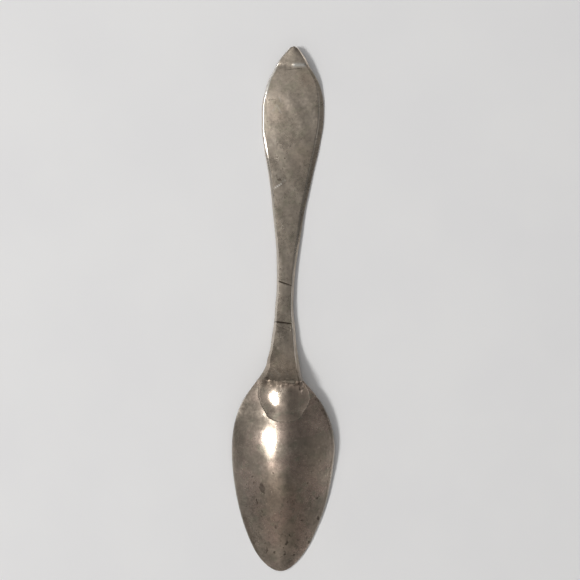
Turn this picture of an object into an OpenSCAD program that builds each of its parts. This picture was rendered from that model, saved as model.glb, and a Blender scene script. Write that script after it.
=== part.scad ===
// Plain antique-pattern silver teaspoon, lying face down on its bowl and blade.
// +Z is up, +Y runs from the bowl's tip to the handle's tip, +X is to the right
// when the spoon is seen from above with its bowl at the bottom.
// The origin is on the table, under the middle of the spoon.
// All sizes are in millimetres.

/* [Overall] */
// Length from the bowl's tip to the handle's tip
spoon_len = 150; // [135:1:165]
// Height of the bowl's rim above the table, at the neck
rim_lift = 6.3; // [5.5:0.1:7]

/* [Bowl] */
// Width of the bowl at its widest
bowl_w = 29.4; // [27:0.2:32]
// Depth of the dished bowl, from its rim to its crown, outside
bowl_depth = 8; // [7:0.1:9]
// Wall thickness of the bowl at its crown
bowl_t = 0.75; // [0.6:0.05:1]
// Width of the blunt rim
rim_t = 0.9; // [0.7:0.1:1.1]
// Height of the rim's upright edge
rim_h = 0.45; // [0.3:0.05:0.6]

/* [Handle] */
// Width of the blade at its widest
blade_w = 17.7; // [15:0.2:20]
// Thickness factor of the whole handle, 1 is as forged
handle_t = 1; // [0.85:0.05:1.1]
// Width factor of the bevels along the handle's edges
bevel = 1; // [0.6:0.1:1.3]
// How high the bent-up end stands above the blade
tip_rise = 3.4; // [1:0.2:4]

/* [Heel] */
// Thickness of the tongue near the seam
drop_t = 1.2; // [1:0.1:1.4]
// Thickness of the tongue at its rounded lower edge
drop_edge = 0.3; // [0.2:0.05:0.4]
// Depth of the cross seam's groove
seam_d = 0.35; // [0.3:0.05:0.4]
// Width of the solder fillet round the tongue
fillet_w = 0.45; // [0.3:0.05:0.6]

/* [Hidden] */

silver = [0.50, 0.46, 0.40];
silver_bowl = [0.45, 0.40, 0.35];
silver_heel = [0.52, 0.47, 0.41];
solder = [0.60, 0.57, 0.52];

ky = spoon_len / 150;
kb = bowl_w / 29.4;
kh = blade_w / 17.7;

// Ends of the pieces along Y, before the length factor
y_bowl_tip = -75;
y_neck = -20.34;
y_foot = -20.30;
y_tip = 75;
// Middle of the bowl, where its rings start
y_mid = -46;

// Bowl outline: Y, half width to the left, half width to the right
BOWL = [
  [-74.1, 2.8, 2.6], [-73, 4.3, 4], [-71.9, 5.4, 5.1], [-70.7, 6.4, 6], [-69, 7.5, 7.2],
  [-66, 9, 8.8], [-63.3, 10.2, 10], [-60.4, 11.2, 11.1], [-57.5, 12.1, 12], [-54.7, 12.8, 12.8],
  [-52, 13.4, 13.4], [-49, 13.9, 13.9], [-46, 14.3, 14.3], [-43.2, 14.6, 14.6],
  [-40.4, 14.7, 14.7], [-37.5, 14.6, 14.6], [-34.6, 14.4, 14.2], [-32, 13.9, 13.3],
  [-29, 13, 11.9], [-26, 11.7, 10.3], [-24.6, 10.8, 9.2], [-23.2, 9.9, 7.9],
  [-21.8, 8.9, 6.6], [-20.3, 7.9, 5.3]];

// Bowl crown: Y, height above the rim's top edge for a bowl 8 deep
CROWN = [
  [-75, 0], [-72.5, 1.85], [-70, 3.02], [-67, 4.12], [-63, 5.25], [-60, 5.98], [-56, 6.80],
  [-52, 7.39], [-48, 7.71], [-45, 7.75], [-42, 7.63], [-39, 7.33], [-36.5, 6.86], [-34, 6.21],
  [-32, 5.50], [-30.5, 4.98], [-29, 4.57], [-27, 4.10], [-25, 3.52], [-23, 2.91], [-20.3, 2.04]];

// Bowl section: Y, fullness of its sides
DOME = [[-75, -0.12], [-44, -0.10], [-38, -0.05], [-33.5, -0.20], [-29, -0.52], [-25, -0.15], [-20.3, 0.04]];

// Handle outline: Y, half width left, half width right, bevel left, bevel right,
// height of the edge as a part of the thickness
HANDLE = [
  [-20.3, 7.9, 5.3, 4.4, 1.6, 0.15], [-19, 7, 4.8, 3.2, 1.5, 0.2], [-17.5, 6.1, 4.4, 1.9, 1.3, 0.3],
  [-16, 5.5, 4.1, 1.1, 1.1, 0.4], [-14.5, 5.2, 3.8, 0.8, 1, 0.45], [-12, 4.6, 3.3, 0.7, 0.9, 0.5],
  [-9, 4.2, 2.8, 0.7, 0.8, 0.5], [-6, 3.8, 2.5, 0.7, 0.8, 0.5], [-3, 3.5, 2.1, 0.6, 0.7, 0.5],
  [0, 3.4, 1.8, 0.6, 0.7, 0.5], [5.5, 3.1, 1.8, 0.6, 0.7, 0.5], [11, 3.2, 2.1, 0.6, 0.8, 0.5],
  [17, 3.5, 2.8, 0.6, 0.9, 0.5], [23, 4.2, 3.6, 0.6, 1, 0.5], [28.5, 4.9, 4.3, 0.7, 1.1, 0.5],
  [34, 5.6, 5.4, 0.7, 1.2, 0.5], [40, 6.6, 6.6, 0.7, 1.4, 0.5], [45.5, 7.7, 7.8, 0.8, 1.5, 0.5],
  [48.5, 8.2, 8.3, 0.8, 1.5, 0.5], [51, 8.5, 8.7, 0.8, 1.5, 0.5], [54, 8.6, 9, 0.8, 1.5, 0.5],
  [57, 8.7, 9, 0.8, 1.5, 0.5], [60, 8.4, 8.8, 0.8, 1.4, 0.5], [62.5, 7.8, 8.2, 0.8, 1.2, 0.5],
  [65.5, 6.9, 7, 0.7, 1, 0.5], [68, 5.6, 5.4, 0.6, 0.8, 0.5], [69.5, 4.9, 4.4, 0.5, 0.6, 0.5],
  [71.3, 3.9, 3.5, 0.4, 0.5, 0.5], [72.5, 3, 2.7, 0.4, 0.4, 0.5], [73.5, 2.1, 2, 0.3, 0.3, 0.5],
  [74.3, 1.4, 1.3, 0.2, 0.2, 0.5], [75, 0.4, 0.4, 0.1, 0.1, 0.5]];

// Handle side view: Y, height of the underside, thickness
SIDE = [
  [-20.3, 6.3, 3.45], [-19, 5.75, 3.5], [-17.5, 4.85, 3.42], [-16, 3.85, 3.28], [-14.5, 2.95, 3.1],
  [-12, 1.85, 2.85], [-9, 1.2, 2.65], [-6, 0.95, 2.5], [0, 0.75, 2.35], [6, 0.62, 2.2],
  [12, 0.5, 2.05], [18, 0.38, 1.85], [24, 0.27, 1.65], [30, 0.17, 1.5], [36, 0.08, 1.35],
  [42, 0, 1.2], [47, 0, 1.1], [50, 0, 1.05], [58.5, 0, 1], [60, 0.08, 1], [61, 0.25, 1],
  [62, 0.5, 1], [63.3, 1, 1], [64.4, 1.45, 1], [65.5, 1.9, 1], [66.7, 2.45, 1], [67.8, 2.9, 1],
  [69.2, 3.35, 1], [69.8, 3.42, 1], [72.3, 3.2, 0.95], [75, 2.95, 0.9]];

// Tongue outline on the bowl's back: Y, half width left, half width right, thickness
TONGUE = [
  [-31.95, 1, 1, 0.3], [-31.7, 2, 2, 0.37], [-31.2, 3.1, 3.1, 0.53], [-30.3, 4.3, 4.3, 0.79],
  [-29.3, 5.2, 5.2, 1.02], [-28, 6.1, 6.1, 1.21], [-26.8, 6.7, 6.7, 1.28], [-25.4, 7.15, 7.1, 1.22],
  [-24.2, 7.4, 7, 1.17], [-23, 7.5, 6.7, 1.15], [-21.7, 7.5, 5.8, 1.16], [-20.3, 7.2, 4.8, 1.17]];

// Where the handle and the tongue are cut into rows
H_ROWS = [for (y = [-20.3, -19.95, -19.4, -18.6, -17.6, -16.6, -15.6, -14.5, -13.2, -11.8, -10, -7.5, -5, -2.5,
  0, 3, 6, 9, 12, 15, 18, 21, 24, 27, 30, 33, 36, 39, 42, 44.5, 47, 50, 52, 54, 56, 58, 60, 62,
  63.2, 64.4, 65.6, 66.8, 68, 69, 69.5, 70.1, 71.2, 72.3, 73.2, 73.9, 74.4, 74.8, 75]) y];
T_ROWS = [-31.95, -31.75, -31.5, -31.1, -30.6, -30, -29.3, -28.6, -27.8, -26.9, -26, -25, -24,
  -23, -22.1, -21.4, -20.75, -20.34];
// Rings of the bowl, from its middle to its rim
RINGS = [0.17, 0.31, 0.42, 0.5, 0.56, 0.62, 0.68, 0.74, 0.8, 0.86, 0.91, 0.95, 0.98, 1];

// ---- smooth curves through the tables ----

// Row of table a that t falls in
function row_of(t, a, i = 0) = (i >= len(a) - 2 || t < a[i + 1][0]) ? i : row_of(t, a, i + 1);
function rise(a, i, c) = (a[i + 1][c] - a[i][c]) / (a[i + 1][0] - a[i][0]);
// Slope at row i, never overshooting the table's values
function slope(a, i, c) =
  i == 0 ? rise(a, 0, c) :
  i == len(a) - 1 ? rise(a, i - 1, c) :
  let (p = rise(a, i - 1, c), q = rise(a, i, c)) p * q <= 0 ? 0 : 2 * p * q / (p + q);
// Value of column c at t
function along(t, a, c) =
  let (s = max(a[0][0], min(a[len(a) - 1][0], t)), i = row_of(s, a),
       h = a[i + 1][0] - a[i][0], u = (s - a[i][0]) / h)
  a[i][c] * (1 + 2 * u) * (1 - u) * (1 - u) + h * slope(a, i, c) * u * (1 - u) * (1 - u) +
  a[i + 1][c] * u * u * (3 - 2 * u) + h * slope(a, i + 1, c) * u * u * (u - 1);
function ease(t) = let (u = max(0, min(1, t))) u * u * (3 - 2 * u);

// ---- bowl ----

// The outline is a round parabola at the tip, so its table is read as width over root of distance
BOWL_ROOT = [for (r = BOWL) let (d = sqrt(r[0] - y_bowl_tip)) [r[0], r[1] / d, r[2] / d]];
function bowl_half(x, y) =
  kb * along(y, BOWL_ROOT, x < 0 ? 1 : 2) * sqrt(max(0.000001, y - y_bowl_tip));
// Bottom of the rim: on the table round the front, sweeping up along the shoulders to the neck
function rim_z(y) = rim_lift * pow(max(0, y - y_bowl_tip) / (y_neck - y_bowl_tip), 2.8);
// Cross-section of the dome, 1 at the middle and 0 at the rim
function dome(u, y) = (1 - u * u) * (1 + along(y, DOME, 1) * u * u);
function outer_z(x, y) =
  let (u = min(1, abs(x) / bowl_half(x, y)))
  rim_z(y) + rim_h + bowl_depth / 8 * along(y, CROWN, 1) * dome(u, y);

// The hollow starts behind the rim and closes in a round end before the neck
y_in_tip = y_bowl_tip + rim_t;
y_in_neck = -23.6;
function close_tip(y) = let (t = max(0, min(1, (-70 - y) / (-70 - y_in_tip)))) 1 - t * t;
function close_neck(y) = let (t = max(0, min(1, (y + 33) / (y_in_neck + 33)))) 1 - t * t;
function in_half(x, y) =
  max(0.001, (bowl_half(x, y) - rim_t) * sqrt(close_tip(y) * close_neck(y)));
function inner_z(x, y) =
  let (u = min(1, abs(x) / in_half(x, y)),
       h = bowl_depth / 8 * along(y, CROWN, 1) + rim_h - bowl_t)
  rim_z(y) + max(0, h) * close_tip(y) * close_neck(y) * dome(u, y);

function in_outline(x, y) = y < y_neck && y > y_bowl_tip && abs(x) < bowl_half(x, y);
function in_hollow(x, y) = y < y_in_neck && y > y_in_tip && abs(x) < in_half(x, y);
// Distance from the bowl's middle to the outline, along angle a from +Y
function reach(a, hollow, lo = 1, hi = 60, n = 26) =
  n == 0 ? (lo + hi) / 2 :
  let (r = (lo + hi) / 2, x = r * sin(a), y = y_mid + r * cos(a),
       inside = hollow ? in_hollow(x, y) : in_outline(x, y))
  inside ? reach(a, hollow, r, hi, n - 1) : reach(a, hollow, lo, r, n - 1);

a_right = atan2(kb * 5.3, y_neck - y_mid);
a_left = 360 - atan2(kb * 7.9, y_neck - y_mid);
n_side = 30;
function spread(t) = t - 0.6 * sin(360 * t) / (2 * PI);
ANGLES = concat(
  [for (i = [0:n_side - 1]) a_right + (180 - a_right) * spread(i / n_side)],
  [for (i = [0:n_side - 1]) 180 + (a_left - 180) * spread(i / n_side)],
  [for (i = [0:5]) a_left + (360 + a_right - a_left) * i / 6]);
OUT_R = [for (a = ANGLES) reach(a, false)];
IN_R = [for (a = ANGLES) reach(a, true)];

function ring_out(k) = [for (i = [0:len(ANGLES) - 1])
  let (x = k * OUT_R[i] * sin(ANGLES[i]), y = y_mid + k * OUT_R[i] * cos(ANGLES[i]))
  [x, ky * y, outer_z(x, y)]];
function ring_in(k) = [for (i = [0:len(ANGLES) - 1])
  let (x = k * IN_R[i] * sin(ANGLES[i]), y = y_mid + k * IN_R[i] * cos(ANGLES[i]))
  [x, ky * y, k == 1 ? rim_z(y) : inner_z(x, y)]];
RIM_BOTTOM = [for (p = ring_out(1)) [p[0], p[1], rim_z(p[1] / ky)]];

// Closed skin over rings of equal length, with a point at each end
module capped_rings(p0, rings, p1) {
  n = len(rings[0]);
  m = len(rings);
  pts = concat([p0], [for (r = rings) each r], [p1]);
  fan0 = [for (j = [0:n - 1]) [0, 1 + j, 1 + (j + 1) % n]];
  side = [for (i = [0:m - 2], j = [0:n - 1])
    let (a = 1 + i * n + j, b = 1 + i * n + (j + 1) % n, c = b + n, d = a + n)
    each [[a, c, b], [a, d, c]]];
  fan1 = [for (j = [0:n - 1]) [n * m + 1, 1 + (m - 1) * n + (j + 1) % n, 1 + (m - 1) * n + j]];
  polyhedron(points = pts, faces = concat(fan0, side, fan1), convexity = 8);
}

module bowl() {
  color(silver_bowl)
    capped_rings(
      [0, ky * y_mid, outer_z(0, y_mid)],
      concat([for (k = RINGS) ring_out(k)], [RIM_BOTTOM],
             [for (i = [len(RINGS) - 1:-1:0]) ring_in(RINGS[i])]),
      [0, ky * y_mid, inner_z(0, y_mid)]);
}

// ---- slabs: the handle and the tongue ----

// Closed solid over rows, each row a list of top points and a list of bottom points
module slab(rows) {
  n = len(rows[0][0]);
  m = len(rows);
  pts = [for (r = rows) each concat(r[0], r[1])];
  function top(i, j) = i * 2 * n + j;
  function bot(i, j) = i * 2 * n + n + j;
  skin = [for (i = [0:m - 2], j = [0:n - 2]) each [
    [top(i, j), top(i + 1, j), top(i + 1, j + 1)], [top(i, j), top(i + 1, j + 1), top(i, j + 1)],
    [bot(i, j), bot(i + 1, j + 1), bot(i + 1, j)], [bot(i, j), bot(i, j + 1), bot(i + 1, j + 1)]]];
  edges = [for (i = [0:m - 2]) each [
    [top(i, 0), bot(i, 0), bot(i + 1, 0)], [top(i, 0), bot(i + 1, 0), top(i + 1, 0)],
    [top(i, n - 1), bot(i + 1, n - 1), bot(i, n - 1)],
    [top(i, n - 1), top(i + 1, n - 1), bot(i + 1, n - 1)]]];
  ends = [for (j = [0:n - 2]) each [
    [top(0, j), bot(0, j + 1), bot(0, j)], [top(0, j), top(0, j + 1), bot(0, j + 1)],
    [top(m - 1, j), bot(m - 1, j), bot(m - 1, j + 1)],
    [top(m - 1, j), bot(m - 1, j + 1), top(m - 1, j + 1)]]];
  polyhedron(points = pts, faces = concat(skin, edges, ends), convexity = 8);
}

// Width factor of the handle: the bowl's at the neck, the blade's from mid stem
function handle_k(y) = let (s = ease((y + 18) / 50)) kb * (1 - s) + kh * s;
function under_z(y) = along(y, SIDE, 1) * (y > 50 ? tip_rise / 3.4 : rim_lift / 6.3);
function thick(y) = handle_t * along(y, SIDE, 2);

// Points across the handle: part of the bevel, height as a part of the edge-to-top rise
BEV = [[0, 0], [0.35, 0.5], [0.75, 0.86], [1, 0.985]];
function handle_row(y) =
  let (k = handle_k(y), l = k * along(y, HANDLE, 1), r = k * along(y, HANDLE, 2),
       bl = min(0.7 * l, bevel * along(y, HANDLE, 3)), br = min(0.7 * r, bevel * along(y, HANDLE, 4)),
       z0 = under_z(y), t = thick(y), e = along(y, HANDLE, 5) * t, g = y < -20 ? seam_d : 0,
       flat_l = -l + bl + min(0.3, 0.2 * l), flat_r = r - br - min(0.3, 0.2 * r),
       c = min(0.25, 0.2 * l, 0.2 * r))
  [concat(
     [for (b = BEV) [-l + b[0] * bl, ky * y, z0 + e + b[1] * (t - e)]],
     [[flat_l, ky * y, z0 + t - g], [(flat_l + flat_r) / 2, ky * y, z0 + t - g], [flat_r, ky * y, z0 + t - g]],
     [for (i = [3:-1:0]) [r - BEV[i][0] * br, ky * y, z0 + e + BEV[i][1] * (t - e)]]),
   concat(
     [[-l, ky * y, z0 + 0.5 * e], [-l + c, ky * y, z0]],
     [for (q = [-0.6, -0.4, -0.2, 0, 0.2, 0.4, 0.6])
       [q < 0 ? q * (l - c) : q * (r - c), ky * y, z0]],
     [[r - c, ky * y, z0], [r, ky * y, z0 + 0.5 * e]])];

module handle() {
  color(silver) slab([for (y = H_ROWS) handle_row(y)]);
}

// Height of the handle's top at its foot
function foot_z(x) =
  let (y = y_foot, l = kb * 7.9, r = kb * 5.3, bl = bevel * 4.4, br = bevel * 1.6,
       d = x < 0 ? (x + l) / bl : (r - x) / br, t = thick(y), e = 0.15 * t)
  under_z(y) + e + (t - e) * (d <= 0 ? 0 : d >= 1 ? 1 : lookup(d, BEV));

function tongue_thick(y) =
  let (t = along(y, TONGUE, 3)) drop_edge + (t - 0.3) * (drop_t - drop_edge) / 0.9;
// Top of the tongue: flush with the handle's foot at the seam, then lying on the bowl
function tongue_top(v, x, y) =
  let (s = ease((y_neck - y) / 4.5), e = drop_edge,
       free = outer_z(x, y) + e + (tongue_thick(y) - e) * (1 - pow(abs(v), 2.7)))
  (1 - s) * max(foot_z(x), outer_z(x, y) + e) + s * free;
V = [-1, -0.95, -0.86, -0.72, -0.56, -0.4, -0.2, 0, 0.2, 0.4, 0.56, 0.72, 0.86, 0.95, 1];
function tongue_row(y) =
  let (l = kb * along(y, TONGUE, 1), r = kb * along(y, TONGUE, 2))
  [[for (v = V) let (x = v < 0 ? v * l : v * r)
     [x, ky * y, tongue_top(v, x, y) - ((y > -20.5 && abs(v) < 0.5) ? seam_d : 0)]],
   [for (v = V) let (x = v < 0 ? v * l : v * r) [x, ky * y, outer_z(x, y) + 0.05]]];

module heel_drop() {
  color(silver_heel) slab([for (y = T_ROWS) tongue_row(y)]);
}

// ---- solder ----

// Closed bar swept along sections of equal length, with flat ends
module swept(sections) {
  n = len(sections[0]);
  m = len(sections);
  side = [for (i = [0:m - 2], j = [0:n - 1])
    let (a = i * n + j, b = i * n + (j + 1) % n, c = b + n, d = a + n) each [[a, b, c], [a, c, d]]];
  ends = [for (j = [1:n - 2]) each [[0, j + 1, j], [(m - 1) * n, (m - 1) * n + j, (m - 1) * n + j + 1]]];
  polyhedron(points = [for (s = sections) each s], faces = concat(side, ends), convexity = 6);
}

// Lens of solder lying over the cross seam, fuller to the right: X, fullness
SEAM = [[-3.15, 0.06], [-2.4, 0.2], [-1.4, 0.38], [-0.4, 0.55], [0.6, 0.72], [1.5, 0.9], [2.2, 1], [2.7, 0.75], [2.9, 0.3]];
// Height of the metal that the solder lies on
function seam_base(x, y) = y > y_foot ? under_z(y) + thick(y) : tongue_top(x / (kb * (x < 0 ? 7.2 : 4.8)), x, y);
module seam_solder() {
  color(solder) swept([for (s = SEAM) let (x = kb * s[0], k = s[1], up = 0.06 + 0.5 * k, dn = 0.06 + 0.75 * k)
    concat(
      [for (q = [-1, -0.5, 0, 0.5, 1]) let (y = -20.32 + (q > 0 ? q * up : q * dn))
        [x, ky * y, seam_base(x, y) + 0.06 + 0.1 * k * (1 - q * q)]],
      [for (q = [1, 0, -1]) let (y = -20.32 + (q > 0 ? q * up : q * dn))
        [x, ky * y, seam_base(x, y) + 0.02]])]);
}

// Points along the tongue's edge, from the left near the neck, round the end, to the right
EDGE_L = [for (y = [-22.6, -23.5, -24.5, -25.5, -26.5, -27.4, -28.2, -29, -29.7, -30.3, -30.8, -31.2, -31.5, -31.75])
  [-kb * along(y, TONGUE, 1), y]];
EDGE = concat(EDGE_L,
  [[-kb, -31.95], [0, -31.97], [kb, -31.95]],
  [for (i = [len(EDGE_L) - 1:-1:0]) [kb * along(EDGE_L[i][1], TONGUE, 2), EDGE_L[i][1]]]);
// Plan direction away from the tongue at point i
function away(i) =
  let (p = EDGE[max(0, i - 1)], q = EDGE[min(len(EDGE) - 1, i + 1)], d = q - p)
  [d[1], -d[0]] / norm(d);
function on_bowl(p, up) = [p[0], ky * p[1], outer_z(p[0], p[1]) + up];
module drop_solder() {
  color(solder) swept([for (i = [0:len(EDGE) - 1])
    let (o = away(i), p = EDGE[i], k = (i == 0 || i == len(EDGE) - 1) ? 0.4 : 1)
    [on_bowl(p + 0.06 * o, 0.05), on_bowl(p + (0.06 + fillet_w * k) * o, 0.05),
     on_bowl(p + (0.06 + 0.4 * fillet_w * k) * o, 0.05 + 0.4 * drop_edge * k),
     on_bowl(p + 0.06 * o, 0.05 + 0.85 * drop_edge * k)]]);
}

bowl();
handle();
heel_drop();
seam_solder();
drop_solder();
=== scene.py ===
# Looks for a plain antique-pattern silver teaspoon, lying face down.
import bpy
import math
import numpy as np
from mathutils import Matrix, Vector


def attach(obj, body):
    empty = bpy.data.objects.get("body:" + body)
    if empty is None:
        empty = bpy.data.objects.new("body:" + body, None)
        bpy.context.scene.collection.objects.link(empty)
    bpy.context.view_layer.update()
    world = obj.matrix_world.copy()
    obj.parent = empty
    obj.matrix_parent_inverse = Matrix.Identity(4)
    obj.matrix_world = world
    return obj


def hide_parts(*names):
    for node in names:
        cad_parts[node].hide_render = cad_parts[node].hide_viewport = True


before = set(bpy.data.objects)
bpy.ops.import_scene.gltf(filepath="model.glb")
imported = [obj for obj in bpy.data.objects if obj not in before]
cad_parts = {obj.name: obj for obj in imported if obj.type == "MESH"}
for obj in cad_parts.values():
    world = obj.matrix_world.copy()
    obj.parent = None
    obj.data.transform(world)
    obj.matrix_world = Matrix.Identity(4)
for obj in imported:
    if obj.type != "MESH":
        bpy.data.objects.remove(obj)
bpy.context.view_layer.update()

MM = 0.001
scene = bpy.context.scene
scene.view_settings.view_transform = "Standard"
scene.view_settings.look = "None"

# ---------------------------------------------------------------- camera
# Straight above the spoon, turned so that the handle leans a little to the right.
LEAN = math.radians(1.53)
cam_data = bpy.data.cameras.new("camera")
cam_data.sensor_width = 36.0
cam_data.lens = 216.8
cam_data.clip_start, cam_data.clip_end = 0.05, 20.0
cam = bpy.data.objects.new("camera", cam_data)
scene.collection.objects.link(cam)
cam.location = (0.71 * MM, 5.46 * MM, 1.0)
cam.rotation_euler = (0.0, 0.0, LEAN)
scene.camera = cam

# ---------------------------------------------------------------- the design's tables (mm)
BOWL = np.array([
    [-74.1, 2.8, 2.6], [-73, 4.3, 4], [-71.9, 5.4, 5.1], [-70.7, 6.4, 6], [-69, 7.5, 7.2],
    [-66, 9, 8.8], [-63.3, 10.2, 10], [-60.4, 11.2, 11.1], [-57.5, 12.1, 12], [-54.7, 12.8, 12.8],
    [-52, 13.4, 13.4], [-49, 13.9, 13.9], [-46, 14.3, 14.3], [-43.2, 14.6, 14.6],
    [-40.4, 14.7, 14.7], [-37.5, 14.6, 14.6], [-34.6, 14.4, 14.2], [-32, 13.9, 13.3],
    [-29, 13, 11.9], [-26, 11.7, 10.3], [-24.6, 10.8, 9.2], [-23.2, 9.9, 7.9],
    [-21.8, 8.9, 6.6], [-20.3, 7.9, 5.3]])
CROWN = np.array([
    [-75, 0], [-72.5, 1.85], [-70, 3.02], [-67, 4.12], [-63, 5.25], [-60, 5.98], [-56, 6.80],
    [-52, 7.39], [-48, 7.71], [-45, 7.75], [-42, 7.63], [-39, 7.33], [-36.5, 6.86], [-34, 6.21],
    [-32, 5.50], [-30.5, 4.98], [-29, 4.57], [-27, 4.10], [-25, 3.52], [-23, 2.91], [-20.3, 2.04]])
DOME = np.array([
    [-75, -0.12], [-44, -0.10], [-38, -0.05], [-33.5, -0.20], [-29, -0.52], [-25, -0.15], [-20.3, 0.04]])
HANDLE = np.array([
    [-20.3, 7.9, 5.3, 4.4, 1.6, 0.15], [-19, 7, 4.8, 3.2, 1.5, 0.2], [-17.5, 6.1, 4.4, 1.9, 1.3, 0.3],
    [-16, 5.5, 4.1, 1.1, 1.1, 0.4], [-14.5, 5.2, 3.8, 0.8, 1, 0.45], [-12, 4.6, 3.3, 0.7, 0.9, 0.5],
    [-9, 4.2, 2.8, 0.7, 0.8, 0.5], [-6, 3.8, 2.5, 0.7, 0.8, 0.5], [-3, 3.5, 2.1, 0.6, 0.7, 0.5],
    [0, 3.4, 1.8, 0.6, 0.7, 0.5], [5.5, 3.1, 1.8, 0.6, 0.7, 0.5], [11, 3.2, 2.1, 0.6, 0.8, 0.5],
    [17, 3.5, 2.8, 0.6, 0.9, 0.5], [23, 4.2, 3.6, 0.6, 1, 0.5], [28.5, 4.9, 4.3, 0.7, 1.1, 0.5],
    [34, 5.6, 5.4, 0.7, 1.2, 0.5], [40, 6.6, 6.6, 0.7, 1.4, 0.5], [45.5, 7.7, 7.8, 0.8, 1.5, 0.5],
    [48.5, 8.2, 8.3, 0.8, 1.5, 0.5], [51, 8.5, 8.7, 0.8, 1.5, 0.5], [54, 8.6, 9, 0.8, 1.5, 0.5],
    [57, 8.7, 9, 0.8, 1.5, 0.5], [60, 8.4, 8.8, 0.8, 1.4, 0.5], [62.5, 7.8, 8.2, 0.8, 1.2, 0.5],
    [65.5, 6.9, 7, 0.7, 1, 0.5], [68, 5.6, 5.4, 0.6, 0.8, 0.5], [69.5, 4.9, 4.4, 0.5, 0.6, 0.5],
    [71.3, 3.9, 3.5, 0.4, 0.5, 0.5], [72.5, 3, 2.7, 0.4, 0.4, 0.5], [73.5, 2.1, 2, 0.3, 0.3, 0.5],
    [74.3, 1.4, 1.3, 0.2, 0.2, 0.5]])
SIDE = np.array([
    [-20.3, 6.3, 3.45], [-19, 5.75, 3.5], [-17.5, 4.85, 3.42], [-16, 3.85, 3.28], [-14.5, 2.95, 3.1],
    [-12, 1.85, 2.85], [-9, 1.2, 2.65], [-6, 0.95, 2.5], [0, 0.75, 2.35], [6, 0.62, 2.2],
    [12, 0.5, 2.05], [18, 0.38, 1.85], [24, 0.27, 1.65], [30, 0.17, 1.5], [36, 0.08, 1.35],
    [42, 0.01, 1.2], [47, 0, 1.1], [50, 0, 1.05], [56, 0, 1.02], [62, 0, 1], [69, 0, 1], [75, 0, 0.9]])
TONGUE = np.array([
    [-31.95, 1, 1, 0.3], [-31.7, 2, 2, 0.37], [-31.2, 3.1, 3.1, 0.53], [-30.3, 4.3, 4.3, 0.79],
    [-29.3, 5.2, 5.2, 1.02], [-28, 6.1, 6.1, 1.21], [-26.8, 6.7, 6.7, 1.28], [-25.4, 7.15, 7.1, 1.22],
    [-24.2, 7.4, 7, 1.17], [-23, 7.5, 6.7, 1.15], [-21.7, 7.5, 5.8, 1.16], [-20.3, 7.2, 4.8, 1.17]])

RIM_LIFT, BOWL_T, RIM_T, RIM_H = 6.3, 0.75, 0.9, 0.45
Y_TIP_BOWL, Y_NECK, Y_FOOT, Y_TIP = -75.0, -20.34, -20.30, 75.0
Y_MID = -46.0
DROP_EDGE, SEAM_D = 0.18, 0.35

# Cuts across the stem's flat: x0, y0, x1, y1, half width, depth
CUTS = [
    (-2.7, 7.95, 1.1, 6.75, 0.13, 0.22),
    (-3.4, -3.65, 1.25, -4.1, 0.15, 0.28),
    (-2.7, -4.85, 1.0, -6.0, 0.12, 0.05),
    (-1.0, -5.15, 1.0, -5.15, 0.11, 0.035),
    (-2.4, -6.35, 0.7, -6.6, 0.12, 0.03),
]


# ---------------------------------------------------------------- curves through the tables
def spline(xs, ys):
    xs, ys = np.asarray(xs, float), np.asarray(ys, float)
    n, h = len(xs), np.diff(xs)
    a, b = np.zeros((n, n)), np.zeros(n)
    a[0, 0] = a[-1, -1] = 1.0
    for i in range(1, n - 1):
        a[i, i - 1], a[i, i], a[i, i + 1] = h[i - 1], 2 * (h[i - 1] + h[i]), h[i]
        b[i] = 6 * ((ys[i + 1] - ys[i]) / h[i] - (ys[i] - ys[i - 1]) / h[i - 1])
    m = np.linalg.solve(a, b)

    def f(t):
        t = np.clip(np.asarray(t, float), xs[0], xs[-1])
        i = np.clip(np.searchsorted(xs, t, side="right") - 1, 0, n - 2)
        d = h[i]
        u = (t - xs[i]) / d
        v = 1 - u
        return (v * ys[i] + u * ys[i + 1]
                + d * d / 6 * ((v ** 3 - v) * m[i] + (u ** 3 - u) * m[i + 1]))
    return f


def smooth_fit(xs, ys, degree, weights=None):
    lo, hi = xs.min(), xs.max()
    c = np.polynomial.chebyshev.chebfit(2 * (xs - lo) / (hi - lo) - 1, ys, degree, w=weights)
    return lambda t: np.polynomial.chebyshev.chebval(
        2 * (np.clip(t, lo, hi) - lo) / (hi - lo) - 1, c)


def ease(t):
    t = np.clip(t, 0, 1)
    return t * t * (3 - 2 * t)


root = np.sqrt(BOWL[:, 0] - Y_TIP_BOWL)
bowl_l = smooth_fit(BOWL[:, 0], BOWL[:, 1] / root, 10, root)
bowl_r = smooth_fit(BOWL[:, 0], BOWL[:, 2] / root, 10, root)
crown = spline(CROWN[:, 0], CROWN[:, 1])
dome_a = spline(DOME[:, 0], DOME[:, 1])


def bowl_half(x, y):
    y = np.asarray(y, float)
    k = np.where(np.asarray(x) < 0, bowl_l(y), bowl_r(y))
    return k * np.sqrt(np.maximum(1e-6, y - Y_TIP_BOWL))


def rim_z(y):
    return RIM_LIFT * (np.maximum(0, y - Y_TIP_BOWL) / (Y_NECK - Y_TIP_BOWL)) ** 2.8


def dome(u, y):
    return (1 - u * u) * (1 + dome_a(y) * u * u)


def dents(x, y):
    """Slow hand-hammered unevenness of the metal, in mm."""
    return (0.016 * np.sin(0.55 * x + 0.9) * np.cos(0.38 * y + 0.4)
            + 0.008 * np.sin(0.95 * x - 0.5 * y + 1.7)
            + 0.005 * np.sin(1.5 * y + 0.8 * x) * np.cos(1.2 * x - 0.3 * y))


def outer_z(x, y):
    u = np.minimum(1, np.abs(x) / bowl_half(x, y))
    return rim_z(y) + RIM_H + crown(y) * dome(u, y) + dents(x, y) * (1 - u ** 4)


Y_IN_TIP, Y_IN_NECK = Y_TIP_BOWL + RIM_T, -23.6


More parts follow.
